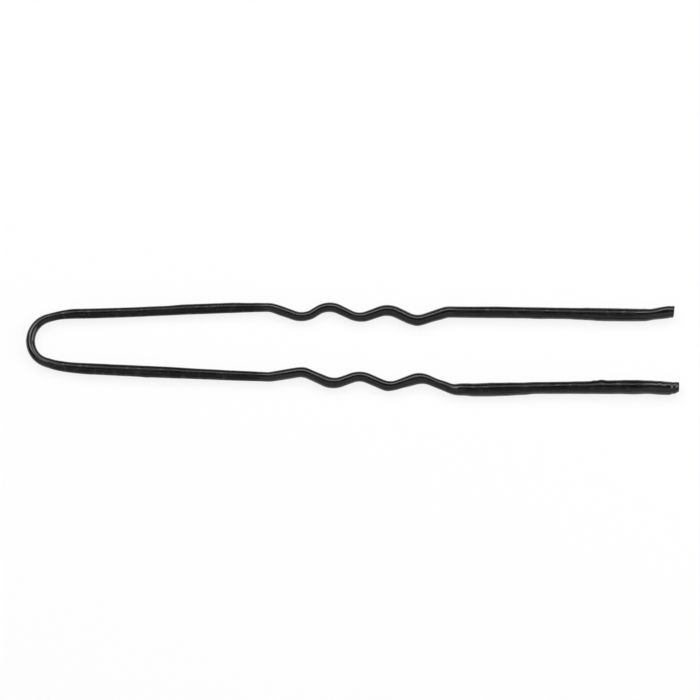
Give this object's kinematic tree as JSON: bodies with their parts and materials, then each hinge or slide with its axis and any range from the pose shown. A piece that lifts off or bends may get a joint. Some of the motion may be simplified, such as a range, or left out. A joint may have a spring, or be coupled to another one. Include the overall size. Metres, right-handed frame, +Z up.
{
  "type": "hairpin",
  "caption": "Open U-shaped hairpin of black lacquered spring wire with crimped legs and dipped tips; the legs spring apart and together to hold a bun or roll of hair.",
  "frame": {"origin": "middle of the pin's length, on the bow's axis, on the surface that the pin lies on", "axes": "+X from the bow to the tips, +Y towards the left leg, +Z up, square to the plane of the pin"},
  "size_m": [0.07, 0.0105, 0.0015],
  "materials": {
    "spring_steel": "bright drawn wire",
    "black_lacquer": "baked gloss lacquer",
    "tip_plastic": "dipped gloss plastic"
  },
  "bodies": {
    "bow": {"bow_wire": "spring_steel", "bow_lacquer": "black_lacquer"},
    "left_leg": {"left_leg_wire": "spring_steel", "left_shank_lacquer": "black_lacquer", "left_crimp_lacquer": "black_lacquer", "left_prong_lacquer": "black_lacquer", "left_tip_dip": "tip_plastic"},
    "right_leg": {"right_leg_wire": "spring_steel", "right_shank_lacquer": "black_lacquer", "right_crimp_lacquer": "black_lacquer", "right_prong_lacquer": "black_lacquer", "right_tip_dip": "tip_plastic"}
  },
  "joints": [
    {"name": "left_leg_flex", "type": "hinge", "parent": "bow", "child": "left_leg", "pos_m": [-0.02862, 0.00314, 0.00073], "axis": [0, 0, 1], "range_deg": [-3, 8], "stiffness_Nm_per_rad": 0.16},
    {"name": "right_leg_flex", "type": "hinge", "parent": "bow", "child": "right_leg", "pos_m": [-0.02841, -0.00312, 0.00073], "axis": [0, 0, -1], "range_deg": [-3, 8], "stiffness_Nm_per_rad": 0.16}
  ]
}
